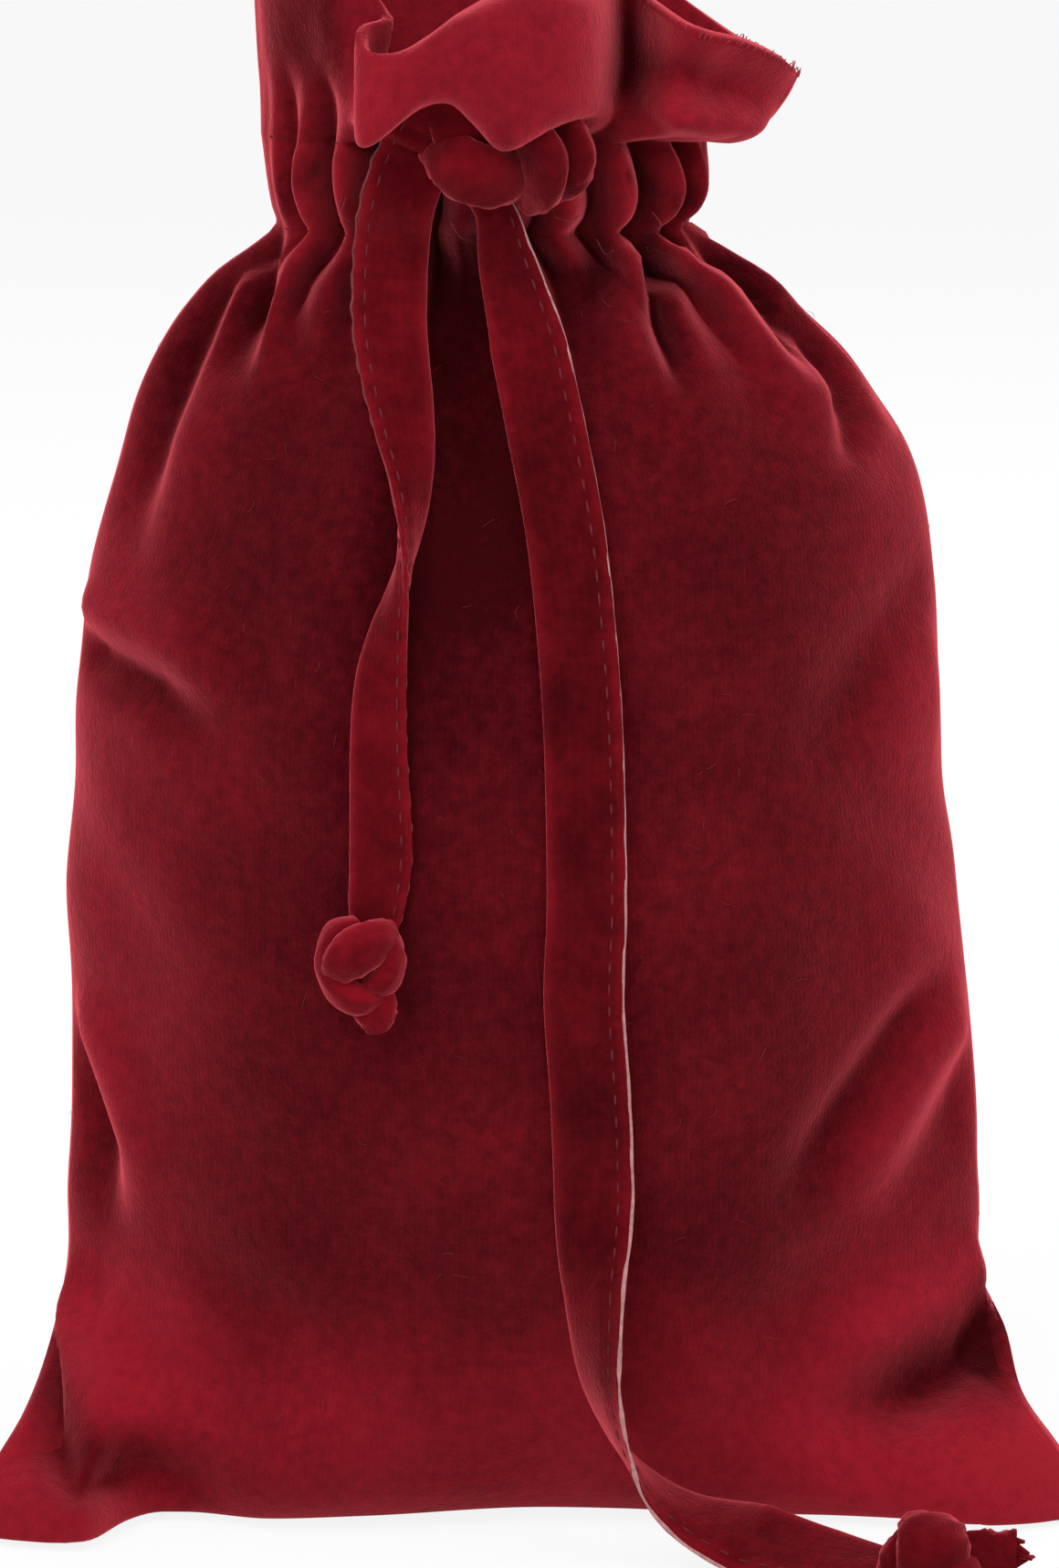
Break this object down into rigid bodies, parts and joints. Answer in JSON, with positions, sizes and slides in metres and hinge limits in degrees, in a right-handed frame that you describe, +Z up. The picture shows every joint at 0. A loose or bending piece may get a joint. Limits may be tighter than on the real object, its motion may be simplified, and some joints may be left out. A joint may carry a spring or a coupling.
{
  "type": "drawstring pouch",
  "caption": "Velvet drawstring pouch, filled out and standing, with a gathered casing, flared collar and a flat ribbon tied at the front whose tails end in knots.",
  "frame": {"origin": "centre of the pouch's box on the floor it stands on", "axes": "+Z up to the mouth, -Y out of the front panel, +X to the right seen from the front"},
  "size_m": [0.16, 0.1056, 0.232],
  "materials": {
    "velvet": "crimson velvet, short pile",
    "ribbon": "crimson velvet tape, folded and edge stitched"
  },
  "bodies": {
    "root": {"front_panel": "velvet", "back_panel": "velvet", "drawstring_loop": "ribbon", "tie_knot": "ribbon", "left_tail": "ribbon", "left_end_knot": "ribbon", "right_tail": "ribbon", "right_end_knot": "ribbon"}
  },
  "joints": []
}
